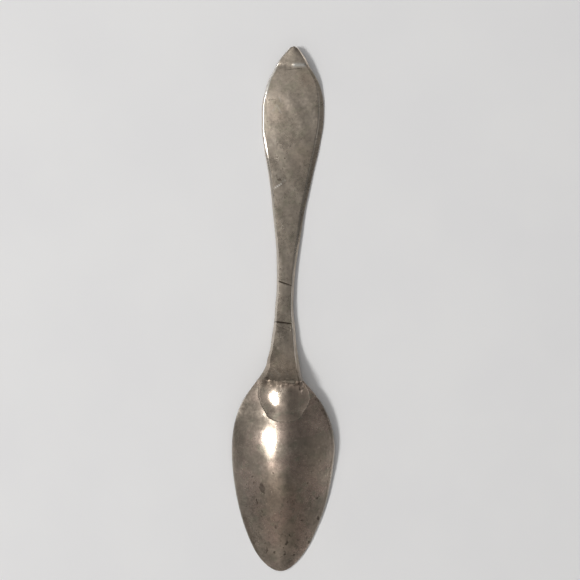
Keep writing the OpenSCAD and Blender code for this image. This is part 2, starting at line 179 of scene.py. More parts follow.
def close_ends(y):
    a = np.clip((-70 - y) / (-70 - Y_IN_TIP), 0, 1)
    b = np.clip((y + 33) / (Y_IN_NECK + 33), 0, 1)
    return (1 - a * a) * (1 - b * b)


def in_half(x, y):
    return np.maximum(0.001, (bowl_half(x, y) - RIM_T) * np.sqrt(close_ends(y)))


def inner_z(x, y):
    u = np.minimum(1, np.abs(x) / in_half(x, y))
    h = np.maximum(0, crown(y) + RIM_H - BOWL_T)
    return rim_z(y) + h * close_ends(y) * dome(u, y) + 0.6 * dents(x, y) * (1 - u ** 4)


# Handle curves
_k = np.sqrt(Y_TIP - HANDLE[:, 0])
h_l = spline(HANDLE[:, 0], HANDLE[:, 1] / _k)
h_r = spline(HANDLE[:, 0], HANDLE[:, 2] / _k)
h_bl = spline(HANDLE[:, 0], HANDLE[:, 3])
h_br = spline(HANDLE[:, 0], HANDLE[:, 4])
h_e = spline(HANDLE[:, 0], HANDLE[:, 5])
s_z = spline(SIDE[:, 0], SIDE[:, 1])
s_t = spline(SIDE[:, 0], SIDE[:, 2])


def left_of(y):
    return h_l(y) * np.sqrt(np.maximum(0.004, Y_TIP - y))


def right_of(y):
    return h_r(y) * np.sqrt(np.maximum(0.004, Y_TIP - y))


def soft_ramp(t, r):
    """Zero before 0, a straight rise after it, rounded over the length r."""
    return r * np.logaddexp(0, t / r)


def tip_bend(y):
    """The end sweeps up to a crease and runs on nearly level."""
    return 0.44 * soft_ramp(y - 62.0, 1.5) - 0.5 * soft_ramp(y - 69.6, 0.35)


def under_z(y):
    return np.where(y > 45, np.maximum(s_z(y), 0), s_z(y)) + tip_bend(y)


# ---------------------------------------------------------------- mesh helpers
def new_object(name, verts_mm, faces, smooth_angle=40):
    me = bpy.data.meshes.new(name)
    me.from_pydata((np.asarray(verts_mm) * MM).tolist(), [], faces)
    me.validate()
    me.update()
    ob = bpy.data.objects.new(name, me)
    scene.collection.objects.link(ob)
    me.polygons.foreach_set("use_smooth", [True] * len(me.polygons))
    return ob


def sharpen(ob, chosen):
    """Crisp edges where both ends of an edge are chosen."""
    me = ob.data
    ends = np.empty(2 * len(me.edges), np.int32)
    me.edges.foreach_get("vertices", ends)
    ends = ends.reshape(-1, 2)
    at = me.attributes.new("sharp_edge", "BOOLEAN", "EDGE")
    at.data.foreach_set("value", chosen[ends[:, 0]] & chosen[ends[:, 1]])


def blobs(x, y, items):
    """Soft clouds of tarnish, worn spots and painted light: x, y, half width, half length, turn, strength."""
    out = np.zeros_like(x)
    xd = x + 0.35 * np.sin(1.3 * y + 0.8 * x) + 0.15 * np.sin(3.1 * y - 1.7)
    yd = y + 0.35 * np.sin(1.1 * x - 0.9 * y) + 0.15 * np.cos(3.3 * x + 0.6)
    for cx, cy, rx, ry, turn, s in items:
        a = math.radians(turn)
        dx, dy = xd - cx, yd - cy
        u = (dx * math.cos(a) + dy * math.sin(a)) / rx
        v = (-dx * math.sin(a) + dy * math.cos(a)) / ry
        out = out + s * np.exp(-(u * u + v * v))
    return out


def put_attribute(ob, name, values):
    at = ob.data.attributes.new(name, "FLOAT", "POINT")
    at.data.foreach_set("value", np.asarray(values, np.float32).ravel())


def spots(x, y, items):
    """Soft elliptical marks: x, y, half width, half length, turn, strength."""
    out = np.zeros_like(x)
    x, y = (x + 0.13 * np.sin(3.3 * y + 1.9 * x) + 0.07 * np.sin(6.7 * y - 2.1),
            y + 0.13 * np.sin(2.9 * x - 2.3 * y) + 0.07 * np.cos(7.1 * x + 0.4))
    for cx, cy, rx, ry, turn, s in items:
        a = math.radians(turn)
        dx, dy = x - cx, y - cy
        u = (dx * math.cos(a) + dy * math.sin(a)) / rx
        v = (-dx * math.sin(a) + dy * math.cos(a)) / ry
        out = np.maximum(out, s * (1 - ease((np.sqrt(u * u + v * v) - 0.55) / 0.75)))
    return out


def segment_distance(x, y, x0, y0, x1, y1):
    dx, dy = x1 - x0, y1 - y0
    t = np.clip(((x - x0) * dx + (y - y0) * dy) / (dx * dx + dy * dy), 0, 1)
    return np.hypot(x - x0 - t * dx, y - y0 - t * dy), t


def lens_line(x, y, lower):
    """Distance to the upper or lower border of the lens-shaped solder in the cross seam."""
    k = np.clip((x + 3.24) / 5.6, 0, 1)
    border = -20.25 + (0.62 * k if not lower else -0.95 * k)
    off = np.maximum(0, -3.3 - x) + np.maximum(0, x - 2.9)
    return np.hypot(y - border, 0.8 * off)


# ---------------------------------------------------------------- bowl
def build_bowl():
    n_side = 200
    y_end = -20.22
    a_r = math.atan2(float(bowl_half(1, y_end)), y_end - Y_MID)
    a_l = 2 * math.pi - math.atan2(float(bowl_half(-1, y_end)), y_end - Y_MID)
    t = np.arange(n_side) / n_side
    sp = t - 0.6 * np.sin(2 * math.pi * t) / (2 * math.pi)
    ang = np.concatenate([a_r + (math.pi - a_r) * sp, math.pi + (a_l - math.pi) * sp,
                          a_l + (2 * math.pi + a_r - a_l) * np.arange(40) / 40])
    sx, cy = np.sin(ang), np.cos(ang)

    def reach(inside):
        lo, hi = np.full(len(ang), 1.0), np.full(len(ang), 60.0)
        for _ in range(40):
            r = (lo + hi) / 2
            ok = inside(r * sx, Y_MID + r * cy)
            lo, hi = np.where(ok, r, lo), np.where(ok, hi, r)
        return (lo + hi) / 2

    r_out = reach(lambda x, y: (y < y_end) & (y > Y_TIP_BOWL) & (np.abs(x) < bowl_half(x, y)))
    r_in = reach(lambda x, y: (y < Y_IN_NECK) & (y > Y_IN_TIP) & (np.abs(x) < in_half(x, y)))
    rings = []
    # outer skin, closer together towards the rim
    ks = 1 - (1 - np.linspace(0, 1, 122)[1:]) ** 1.6
    ks_in = 1 - (1 - np.linspace(0, 1, 47)[1:]) ** 1.6
    for k in ks[:-1]:
        x, y = k * r_out * sx, Y_MID + k * r_out * cy
        rings.append(np.c_[x, y, outer_z(x, y)])
    # blunt rim with rounded corners
    xo, yo = r_out * sx, Y_MID + r_out * cy
    xi, yi = r_in * sx, Y_MID + r_in * cy
    zb, zi = rim_z(yo), rim_z(yi)
    zt = outer_z(xo, yo)
    side = (zt - zb)
    for d, f in ((0.02, 1.0), (0.0, 0.85), (0.0, 0.55), (0.0, 0.3), (0.03, 0.12), (0.1, 0.02)):
        w = np.clip(d / np.maximum(r_out, 1), 0, 1)
        rings.append(np.c_[xo * (1 - w), yo + (Y_MID - yo) * w, zb + side * f])
    for q in (0.15, 0.4, 0.65, 0.88):
        rings.append(np.c_[xo + (xi - xo) * q, yo + (yi - yo) * q, zb + (zi - zb) * q])
    rings.append(np.c_[xi, yi, zi + 0.04])
    for k in ks_in[::-1][1:]:
        x, y = k * r_in * sx, Y_MID + k * r_in * cy
        rings.append(np.c_[x, y, inner_z(x, y)])
    n, m = len(ang), len(rings)
    top = np.array([[0, Y_MID, float(outer_z(np.array(0.0), np.array(Y_MID)))]])
    low = np.array([[0, Y_MID, float(inner_z(np.array(0.0), np.array(Y_MID)))]])
    v = np.concatenate([top] + rings + [low])
    f = [(0, 1 + j, 1 + (j + 1) % n) for j in range(n)]
    for i in range(m - 1):
        a0 = 1 + i * n
        f += [(a0 + j, a0 + n + j, a0 + n + (j + 1) % n, a0 + (j + 1) % n) for j in range(n)]
    a0 = 1 + (m - 1) * n
    f += [(n * m + 1, a0 + (j + 1) % n, a0 + j) for j in range(n)]
    f = [tuple(reversed(q)) for q in f]
    ob = new_object("bowl_shell", v, f)
    x, y, z = v[:, 0], v[:, 1], v[:, 2]
    outside = z > rim_z(y) + 0.3
    under = np.zeros(len(v), bool)
    under[1 + (len(ks) - 1) * n + 6 * n:] = True
    dark = spots(x, y, [
        (-5.65, -51.1, 0.85, 2.1, 16, 0.85), (-8.5, -48.0, 0.4, 0.4, 0, 0.7), (-8.1, -49.5, 0.4, 0.5, 0, 0.6),
        (-7.1, -54.9, 0.25, 0.9, 8, 0.8), (-7.0, -57.0, 0.4, 0.3, 0, 0.5), (-5.5, -57.8, 0.35, 0.55, 20, 0.8),
        (-5.5, -59.2, 0.3, 0.35, 0, 0.6), (-2.8, -46.7, 0.4, 0.4, 0, 0.7), (7.4, -47.3, 0.25, 0.25, 0, 0.5),
        (8.4, -46.2, 0.3, 0.3, 0, 0.5), (7.3, -49.2, 0.35, 0.35, 0, 0.6), (10.5, -42.9, 0.4, 0.4, 0, 0.6),
        (10.0, -53.6, 0.45, 0.45, 0, 0.7), (5.9, -60.2, 0.5, 0.35, 0, 0.8), (10.4, -59.5, 0.5, 0.9, -20, 0.7),
        (1.7, -66.5, 0.4, 1.1, -12, 0.62), (0.4, -64.2, 0.35, 0.6, 0, 0.55), (2.4, -64.4, 0.35, 0.5, 0, 0.7),
        (-1.6, -62.1, 0.35, 0.6, 0, 0.7), (1.2, -69.7, 0.35, 0.8, -12, 0.6), (-1.8, -69.5, 0.6, 0.6, 0, 0.6),
        (3.9, -70.2, 0.4, 0.5, 0, 0.7), (-3.9, -69.0, 0.35, 1.5, 4, 0.6), (3.5, -54.7, 0.7, 1.3, 0, 0.4),
        (4.2, -44.1, 1.4, 0.5, 0, 0.3), (8.1, -66.4, 0.5, 0.5, 0, 0.7), (3.2, -72.4, 1.8, 1.0, 10, 0.5),
        (11.5, -29.0, 0.9, 1.9, 28, 0.55), (10.6, -33.9, 1.2, 0.5, 0, 0.42), (9.4, -25.5, 0.8, 1.6, 30, 0.5),
        (-7.6, -65.6, 1.6, 3.2, -28, 0.45), (-9.9, -60.0, 0.7, 1.2, -20, 0.35), (-3.5, -62.9, 0.4, 0.4, 0, 0.5),
        (-0.7, -60.6, 0.3, 0.4, 0, 0.5), (3.6, -63.6, 0.3, 0.3, 0, 0.5), (-4.4, -66.9, 0.4, 0.6, 0, 0.5),
        (-6.4, -61.4, 0.5, 0.5, 0, 0.4), (6.2, -67.5, 0.3, 0.4, 0, 0.4)])
    u = np.minimum(1, np.abs(x) / bowl_half(x, y))
    dark = np.where(under, 0, dark)
    put_attribute(ob, "stain", dark)
    # speckled lower half
    put_attribute(ob, "speckle", (0.15 + 0.85 * ease((-46 - y) / 12)) * np.where(under, 0.4, 1.0))
    # a painted dark reflection line just inside the rim on the right, grime along the lower left
    line = np.exp(-((u - 0.945) / 0.012) ** 2) * ease((-27 - y) / 4) * ease((y + 60) / 8) * (x > 0)
    grime_and_painted_shade = 0.5 * line + 0.8 * ease((u - 0.78) / 0.16) * ease((-56 - y) / 5) * ease((y + 74) / 3) * (x < 0)
    put_attribute(ob, "grime_and_painted_shade", np.where(under, 0.25, grime_and_painted_shade))
    # darker, redder patina on the lower half
    low = ease((-47 - y) / 10)
    # the right outer part of the upper bowl is painted lighter: a painted reflection
    tone = 0.94 - 0.24 * low + 0.14 * ease((u - 0.45) / 0.3) * (x > 0) * ease((-22 - y) / 4) * (1 - low)
    # blobs at (-8.5, -40) and (0.3, -38) paint a lighter halo on both sides of the lamp's highlight (painted highlight)
    tone = tone + blobs(x, y, [(-9, -52, 5, 12, 0, -0.10), (1.0, -58, 4, 9, 0, -0.10), (2, -49, 3, 6, 0, -0.08),
                               (0, -74, 6, 2.5, 0, -0.10), (-5, -64, 3, 5, 0, 0.05), (7, -28, 4, 4, 30, -0.08), (10, -60, 4, 10, -20, -0.10), (5, -56, 3, 5, 0, 0.06), (8, -66, 4, 6, 0, 0.14), (-13, -42, 1.8, 12, 0, -0.32), (-8.5, -40, 2.2, 7, 0, 0.10), (0.3, -38, 1.8, 6, 0, 0.10), (-3.5, -52, 1.8, 4, 0, -0.14), (-12.2, -28.4, 2.2, 3.5, -25, -0.32), (-9.5, -30, 3, 3, 0, -0.10), (-4.0, -44, 1.6, 2.6, 0, -0.14)])
    put_attribute(ob, "tone", np.where(under, 0.85, tone))
    put_attribute(ob, "warm", np.where(under, 0.2, np.clip(blobs(
        x, y, [(0, -54, 5, 7, 0, 1.0), (2, -64, 8, 10, 0, 0.9), (9, -44, 4, 9, 0, 0.5), (-3, -47, 3, 5, 0, 0.4),
               (2, -26, 6, 5, 0, 0.5)]), 0, 1)))
    # painted highlight: a light reflection line along the rim's edge, stronger on the right
    painted_rim_highlight = 0.55 * ease((u - 0.965) / 0.02) * np.where(x > 0, 1.0, 0.7) * ease((-22 - y) / 3)
    put_attribute(ob, "wear_and_painted_highlight", np.where(under, 0, painted_rim_highlight))
    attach(ob, "root")
    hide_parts("bowl")
    return ob


# ---------------------------------------------------------------- handle
def refined_rows():
    ys = list(np.arange(-20.3, 75.0, 0.35))
    for y0, y1, step in ((-20.3, -18.5, 0.08), (5.9, 8.8, 0.07), (-7.0, -3.0, 0.07),
                         (68.2, 71.0, 0.07), (73.0, 74.97, 0.09)):
        ys = [y for y in ys if not y0 <= y <= y1] + list(np.arange(y0, y1, step))
    return np.array(sorted(ys) + [74.985])


def handle_top_face(s, y):
    """Camber of the flat face, s from -1 to 1 across it."""
    return (0.03 + 0.04 * ease((y + 16) / 8) + 0.15 * ease((y - 15) / 35)) * (1 - s * s)


def build_handle():
    ys = refined_rows()
    d_left = np.array([0, 0.08, 0.2, 0.35, 0.5, 0.65, 0.8, 0.9, 0.96])
    s_face = np.concatenate([[-1], -1 + 0.012 * np.array([1, 2, 4, 7]), np.linspace(-0.86, 0.86, 52),
                             1 - 0.012 * np.array([7, 4, 2, 1]), [1]])
    d_right = np.array([0.97, 0.92, 0.85, 0.75, 0.62, 0.5, 0.38, 0.26, 0.14, 0.05, 0])
    q_low = np.linspace(-1, 1, 26)[::-1]
    rows = []
    for y in ys:
        l, r = float(left_of(y)), float(right_of(y))
        t, z0 = float(s_t(y)), float(under_z(y))
        bl, br = min(0.55 * l, float(h_bl(y))), min(0.55 * r, float(h_br(y)))
        e = float(h_e(y)) * t
        gap_l, gap_r = -l + bl, r - br

        m_foot = float(ease((-14.5 - y) / 4))

        def g(d):
            return (1 - m_foot) * (d + 0.3 * d * (1 - d)) + m_foot * (1 - (1 - d) ** 2.2)
        steep = float(ease((y - 38) / 16)) * float(1 - ease((y - 72.5) / 2))

        def g_left(d):
            return (1 - steep) * g(d) + steep * (1 - np.clip(1 - d / 0.52, 0, 1) ** 1.25)
        xs = np.concatenate([-l + d_left * bl, gap_l + (s_face + 1) / 2 * (gap_r - gap_l), r - d_right * br])
        zs = np.concatenate([z0 + e + g_left(d_left) * (t - e),
                             z0 + t + handle_top_face(s_face, y),
                             z0 + e + g(d_right) * (t - e)])
        # a worn line along the right edge of the flat
        line = 0.05 * np.exp(-((xs - gap_r - 0.05) / 0.10) ** 2) * ease((y + 17) / 3) * (1 - ease((y - 60) / 6))
        zs = zs - line
        # bottom
        c = min(0.3, 0.25 * l, 0.25 * r)
        lo_x = np.where(q_low < 0, q_low * (l - c), q_low * (r - c))
        bottom_x = np.concatenate([[r, r - 0.01 * c, r - 0.3 * c], lo_x, [-l + 0.3 * c, -l + 0.01 * c, -l]])
        bottom_z = np.concatenate([[z0 + 0.75 * e, z0 + 0.4 * e, z0 + 0.1 * e], np.full(len(q_low), z0),
                                   [z0 + 0.1 * e, z0 + 0.4 * e, z0 + 0.75 * e]])
        rows.append(np.c_[np.concatenate([xs, bottom_x]), np.full(len(xs) + len(bottom_x), y),
                          np.concatenate([zs, bottom_z])])
    v = np.array(rows)
    m, n = v.shape[:2]
    n_top = len(d_left) + len(s_face) + len(d_right)
    flat = v.reshape(-1, 3)
    x, y = flat[:, 0], flat[:, 1]
    top = np.tile(np.arange(n) < n_top, m)
    l, r = left_of(y), right_of(y)
    face = top & (x > -l + 0.75 * h_bl(y)) & (x < r - 0.75 * h_br(y))
    # cuts across the stem
    cut = np.zeros(len(flat))
    for x0, y0, x1, y1, w, d in CUTS:
        dist, t = segment_distance(x, y, x0, y0, x1, y1)
        c = np.exp(-(dist / w) ** 2) * np.where(top, 1, 0)
        flat[:, 2] -= d * c
        cut = np.maximum(cut, c * min(1.0, d * 9))
    # groove of the cross seam at the foot
    foot = np.exp(-((y - Y_FOOT) / 0.3) ** 2) * ease((x + 3.9) / 0.9) * (1 - ease((x - 3.0) / 1.4)) * top
    flat[:, 2] -= 0.07 * SEAM_D * foot
    flat[:, 2] -= 0.030 * np.exp(-(lens_line(x, y, 0) / 0.14) ** 2) * top
    # crease of the bent tip: a small ridge on its right half
    yc = 69.55 + 0.05 * x + 0.1 * np.sin(0.9 * x)
    ridge = ease((x + 0.7) / 1.1) * (1 - ease((x - 3.0) / 0.9)) * np.exp(-((y - yc) / 0.55) ** 2)
    dip = ease((x + 2.8) / 1.4) * (1 - ease((x - 2.2) / 1.0)) * np.exp(-((y - yc + 1.1) / 0.22) ** 2)
    flat[:, 2] += np.where(top, 0.10 * ridge - 0.05 * dip, 0)
    # lumpy metal above the seam, where it was worked over
    lump = ease((-9 - y) / 5) * top
    rng = np.random.default_rng(7)
    rough = np.zeros(len(flat))
    for cx, cy, rad, amp in zip(rng.uniform(-7, 5, 260), rng.uniform(-20.6, -8, 260),
                                rng.uniform(0.22, 0.6, 260), rng.normal(0, 1, 260)):
        rough += amp * rad * np.exp(-((x - cx) ** 2 + (y - cy) ** 2) / rad ** 2)
    flat[:, 2] += lump * 0.095 * rough
    scratch = np.zeros(len(flat))
    for x0, y0, x1, y1, w, d in ((-3.1, -17.0, -1.5, -18.7, 0.09, 0.05), (-3.6, -16.7, -1.3, -19.2, 0.07, 0.03),
                                 (-1.2, -16.2, 0.8, -18.6, 0.07, 0.02), (-4.6, -18.0, -3.3, -19.4, 0.08, 0.03)):
        dist, t = segment_distance(x, y, x0, y0, x1, y1)
        c = np.exp(-(dist / w) ** 2) * top
        flat[:, 2] -= d * c
        scratch = np.maximum(scratch, c)
    flat[:, 2] += face * (0.010 * np.sin(0.9 * x + 0.35 * y) + 0.008 * np.sin(0.63 * y + 1.3 * x + 2)
                          + 0.004 * np.sin(1.7 * y + 0.6 * x + 1) * np.cos(1.4 * x - 0.5 * y))
    v = flat.reshape(m, n, 3)
    f = []
    for i in range(m - 1):
        f += [(i * n + j, i * n + (j + 1) % n, (i + 1) * n + (j + 1) % n, (i + 1) * n + j) for j in range(n)]
    f.append(tuple(range(n - 1, -1, -1)))
    f.append(tuple((m - 1) * n + j for j in range(n)))
    f = [tuple(reversed(q)) for q in f]
    ob = new_object("handle_stem", flat, f)
    col_no = np.tile(np.arange(n), m)
    arris = (col_no == len(d_left)) | (col_no == len(d_left) + len(s_face) - 1)
    sharpen(ob, arris & (y > -15.5) & (y < 74.0))
    bevel_l = top & (x < -l + 0.95 * h_bl(y))
    bevel_r = top & (x > r - 0.9 * h_br(y))
    stain = spots(x, y, [
        (-3.1, 36.9, 0.7, 0.5, 0, 0.75), (-1.7, 43.2, 0.5, 0.35, 20, 0.9), (-5.2, 38.9, 0.4, 0.4, 0, 0.5),
        (-3.9, 69.0, 1.1, 0.6, 0, 0.45), (-0.9, 68.9, 0.5, 0.5, 0, 0.4), (-0.6, 57.0, 0.9, 0.3, 12, 0.35),
        (2.3, 48.2, 0.7, 1.8, 8, 0.3), (-4.3, -14.8, 0.5, 0.8, 0, 0.4), (3.9, -19.8, 1.3, 0.8, -20, 0.4), (-4.9, -19.9, 1.0, 0.7, 0, 0.75),
        (-2.2, 10.9, 0.6, 0.9, 0, 0.25), (-0.6, 26.4, 0.4, 0.8, 0, 0.25)])
    seam_dark = 0.55 * np.exp(-(lens_line(x, y, 0) / 0.2) ** 2)
    # painted highlight: a light line along the right arris of the flat
    edge_line = np.exp(-((x - (r - h_br(y)) - 0.10) / 0.16) ** 2) * ease((y + 17) / 3) * (1 - ease((y - 60) / 6))
    stain = np.maximum(stain, seam_dark * top)
    stain = np.maximum(stain, 1.2 * cut)
    stain = np.maximum(stain, 0.6 * dip)
    put_attribute(ob, "stain", np.where(top, stain, 0))
    put_attribute(ob, "speckle", 0.06 + 0.35 * lump)
    put_attribute(ob, "grime_and_painted_shade", np.where(top, 0.25 * lump, 0.1))
    # the stem is more tarnished than the blade, most of all on its left half
    width = np.where(x < 0, -x / l, x / r)
    stem = 1 - ease((y - 24) / 36)
    tone = 0.875 - 0.18 * stem - 0.14 * stem * (x < 0) * ease((width - 0.1) / 0.3) + 0.12 * stem * (x > 0) * ease(width / 0.6)
    # blobs at (1.5, 71.8) and (-1.8, 73) paint the bent end lighter: a painted highlight of the crease band and the
    # tip's glint
    tone = tone + blobs(x, y, [(-6.0, 60.5, 2.4, 5.0, 0, 0.16), (-5.0, 55, 3, 3, 0, 0.10), (-3, 51, 3, 2, 0, 0.08),
                               (-5.5, 47, 4, 3.5, 0, -0.12), (0, 50.5, 2, 1.2, 0, 0.10), (2.5, 51.5, 1.6, 1.0, 0, 0.08),
                               (3.0, 49, 2.5, 1.6, 0, -0.10), (-4.4, 38, 3.5, 5, 0, -0.14), (2, 40, 3, 4, 0, -0.05),
                               (1.5, 71.8, 2.5, 1.5, 0, 0.42), (-1.8, 73, 1.5, 1.6, 0, 0.3), (-3.5, 68.6, 2.2, 1.4, 0, -0.12),
                               (-2, 66.0, 4, 2.2, 0, 0.10), (4, 66, 3, 2.4, 0, -0.08), (1, 54, 5, 5, 0, -0.04),
                               (-1, -12, 3, 3.5, 0, 0.40), (-3.4, -16.5, 2.4, 2.6, 0, 0.56), (2.6, -6, 1.0, 6, 0, 0.10), (-0.8, -5, 1.8, 4, 0, -0.10), (0, -8, 3, 4, 0, -0.14), (0, 2.5, 3, 5, 0, -0.11), (1.5, -15, 2, 3, 0, 0.08), (-2, -20, 5, 1.4, 0, -0.18), (3.2, -19.5, 2, 2.0, 0, -0.16)])
    # painted highlight: the left bevel is painted lighter, as the reflection of the bright left side
    inner_l = top & (x < -l + 1.001 * h_bl(y)) & (y > -15)
    # painted reflection: the right bevel is painted lighter on the blade and darker on the stem
    tone = np.where(bevel_r, tone + 0.44 - 0.60 * stem - 0.22 * ease((-8 - y) / 6), tone)
    tone = np.where(inner_l, 0.80 + 0.2 * (1 - stem), tone)
    put_attribute(ob, "tone", np.where(top, tone, 0.7))
    put_attribute(ob, "warm", np.where(top, np.clip(0.25 + blobs(x, y, [
        (-4, 57, 3, 4, 0, 0.4), (3, 44, 4, 5, 0, 0.4), (0, -17, 6, 5, 0, 0.7), (4, 66, 3, 3, 0, 0.5)]), 0, 1), 0.2))
    # painted highlight: the light band on the crease's ridge; the scratch part is light wear
    wear_and_painted_highlight = 0.95 * ridge + 0.2 * scratch
    # painted highlight along the left arris, and a painted white reflection on the left bevel near the tip
    wear_and_painted_highlight = np.maximum(wear_and_painted_highlight, 0.45 * inner_l * ease((y + 14) / 5) * (1 - 0.4 * stem))
    wear_and_painted_highlight = np.maximum(wear_and_painted_highlight, 0.9 * bevel_l * ease((y - 57) / 5))
    wear_and_painted_highlight = np.maximum(wear_and_painted_highlight, 0.30 * edge_line * top)
    # light marks in the tarnish
    for x0, y0, x1, y1, w, g in ((-4.6, 34.4, -2.6, 35.7, 0.12, 1.0), (-4.3, 58.0, -3.2, 56.0, 0.16, 0.35),
                                 (-5.6, 56.6, -4.4, 58.3, 0.14, 0.35), (-3.9, 60.6, -3.3, 59.2, 0.14, 0.35),
                                 (-2.6, 36.2, -1.2, 36.9, 0.09, 0.4), (0.9, 33.9, 1.8, 34.5, 0.09, 0.3)):
        dist, t = segment_distance(x, y, x0, y0, x1, y1)
        wear_and_painted_highlight = np.maximum(wear_and_painted_highlight, g * np.exp(-(dist / w) ** 2))
    put_attribute(ob, "wear_and_painted_highlight", np.where(top, wear_and_painted_highlight, 0))
    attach(ob, "root")
    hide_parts("handle")
    return ob


# ---------------------------------------------------------------- tongue on the bowl's back
t_l = spline(TONGUE[:, 0], TONGUE[:, 1])
t_r = spline(TONGUE[:, 0], TONGUE[:, 2])
t_t = spline(TONGUE[:, 0], TONGUE[:, 3])


def foot_z(x):
    y = Y_FOOT
    l, r = float(left_of(y)), float(right_of(y))
    bl, br, t = float(h_bl(y)), float(h_br(y)), float(s_t(y))
    e = float(h_e(y)) * t
    d = np.clip(np.minimum((x + l) / bl, (r - x) / br), 0, 1)
    s = np.clip((x - (bl - l)) / ((r - br) - (bl - l)) * 2 - 1, -1, 1)
    return float(under_z(y)) + e + (1 - (1 - d) ** 2.2) * (t - e) + 0.03 * (1 - s * s) * (d >= 1)


def tongue_half(y, side):
    """Half width, closing in a round end."""
    w = np.clip((y + 31.98) / 3.0, 0, 1)
    base = t_l(np.maximum(y, -29.3)) if side < 0 else t_r(np.maximum(y, -29.3))
    end = 5.2 * np.sqrt(np.clip(1 - ((-29.3 - np.minimum(y, -29.3)) / 2.68) ** 2, 0, 1))
    return np.where(y < -29.3, end, base)


def tongue_top(v, x, y):
    s = ease((Y_NECK - y) / 4.5)
    right = ease((x + 1.0) / 4.0)
    edge = DROP_EDGE * (1 - 0.75 * right)
    th = DROP_EDGE + (t_t(y) - 0.3)
    free = outer_z(x, y) + edge + (th - edge) * (1 - np.abs(v) ** (2.7 - 0.7 * right))
    return (1 - s) * np.maximum(foot_z(x), outer_z(x, y) + DROP_EDGE) + s * free


def build_tongue():
    ys = np.concatenate([np.arange(-31.97, -31.0, 0.04), np.arange(-31.0, -21.6, 0.12),
                         np.arange(-21.6, -20.24, 0.06), [-20.24]])
    vv = np.concatenate([[-1, -0.995, -0.985, -0.97, -0.95], np.linspace(-0.92, 0.92, 70), [0.95, 0.97, 0.985, 0.995, 1]])
    rows = []
    rng = np.random.default_rng(11)
    bumps = list(zip(rng.uniform(-7, 6, 90), rng.uniform(-24, -20.3, 90), rng.uniform(0.25, 0.6, 90),
                     rng.normal(0, 1, 90)))
    for y in ys:
        l, r = max(0.02, float(tongue_half(y, -1))), max(0.02, float(tongue_half(y, 1)))
        x = np.where(vv < 0, vv * l, vv * r)
        yy = np.full(len(x), y)
        top = tongue_top(vv, x, yy)
        # rounded lower edge
        near = np.minimum(np.where(x < 0, x + l, r - x), (y + 31.98) * 1.5)
        edge = np.clip(near / 0.22, 0, 1)
        base = outer_z(x, yy) + 0.01
        free = ease((Y_NECK - y) / 2.5)
        top = top * (1 - free) + (base + (top - base) * np.sqrt(1 - (1 - edge) ** 2)) * free
        groove = np.exp(-((y - Y_NECK) / 0.3) ** 2) * ease((x + 3.9) / 0.9) * (1 - ease((x - 3.0) / 1.4))
        top = top - 0.07 * SEAM_D * groove - 0.030 * np.exp(-(lens_line(x, yy, 1) / 0.14) ** 2)
        top += 0.02 * np.sin(1.7 * x + 0.5) * np.sin(1.3 * y) * ease((7 - np.abs(x)) / 3) * ease((y + 31.5) / 3)
        worked = ease((y + 24.2) / 2.5) * ease((6.6 - np.abs(x)) / 1.5)
        for cx, cyy, rad, amp in bumps:
            top += 0.045 * worked * (1 - 0.6 * ease((x - 1) / 3)) * amp * rad * np.exp(-((x - cx) ** 2 + (y - cyy) ** 2) / rad ** 2)
        xb, zb = x[::-1][1:-1], outer_z(x, yy)[::-1][1:-1] - 0.05
        rows.append(np.c_[np.concatenate([x, xb]), np.full(2 * len(x) - 2, y), np.concatenate([top, zb])])
    v = np.array(rows)
    m, n = v.shape[:2]
    flat = v.reshape(-1, 3)
    f = []
    for i in range(m - 1):
        f += [(i * n + j, i * n + (j + 1) % n, (i + 1) * n + (j + 1) % n, (i + 1) * n + j) for j in range(n)]
    k = len(vv)
    for row in (0, m - 1):
        b = row * n
        q = [(b + j, b + j + 1, b + n - 1 - j, b + (n - j) % n) for j in range(1, k - 2)]
        q += [(b, b + 1, b + n - 1), (b + k - 2, b + k - 1, b + k)]
        f += [tuple(reversed(c)) for c in q] if row == 0 else q
    f = [tuple(reversed(q)) for q in f]
    ob = new_object("heel_tongue", flat, f)
    x, y = flat[:, 0], flat[:, 1]
    top = np.tile(np.arange(n) < k, m)
    seam_dark = 0.6 * np.exp(-(lens_line(x, y, 1) / 0.2) ** 2)
    blot = spots(x, y, [(2.7, -20.9, 1.9, 0.9, -8, 0.6), (4.4, -21.2, 1.0, 0.9, 0, 0.65), (4.6, -22.2, 0.8, 1.1, 0, 0.6), (-4.9, -20.7, 1.1, 0.7, 0, 0.75), (-5.6, -20.8, 0.8, 1.0, 0, 0.5), (-4.7, -21.3, 0.9, 0.9, 0, 0.45),
                        (-4.2, -21.4, 0.8, 0.5, 0, 0.35), (0.3, -20.9, 2.2, 0.5, -4, 0.5)])
    l = np.where(x < 0, tongue_half(y, -1) + x, tongue_half(y, 1) - x)
    rim = np.exp(-(np.maximum(l - 0.12, 0) / 0.16) ** 2) * ease((-24.5 - y) / 3) * 0.5 * ease((0.5 - x) / 3)
    put_attribute(ob, "stain", np.where(top, np.maximum(np.maximum(seam_dark, blot), rim), 0))
    put_attribute(ob, "speckle", np.full(len(flat), 0.2))
    put_attribute(ob, "grime_and_painted_shade", np.where(top, 0.35 * ease((y + 22.6) / 1.6), 0.1))
    put_attribute(ob, "tone", np.where(top, 0.92 - 0.10 * ease((y + 22.8) / 2) + blobs(
        x, y, [(4.5, -24, 3, 4, 0, 0.18), (-6, -25, 2, 4, 0, 0.18), (-3, -29.5, 2.5, 1.8, 0, -0.24)]), 0.8))
    put_attribute(ob, "warm", np.where(top, np.clip(0.25 + 0.6 * ease((y + 23.5) / 2.5), 0, 1), 0.2))
    put_attribute(ob, "wear_and_painted_highlight", np.zeros(len(flat)))
    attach(ob, "root")
    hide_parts("heel_drop")
    return ob


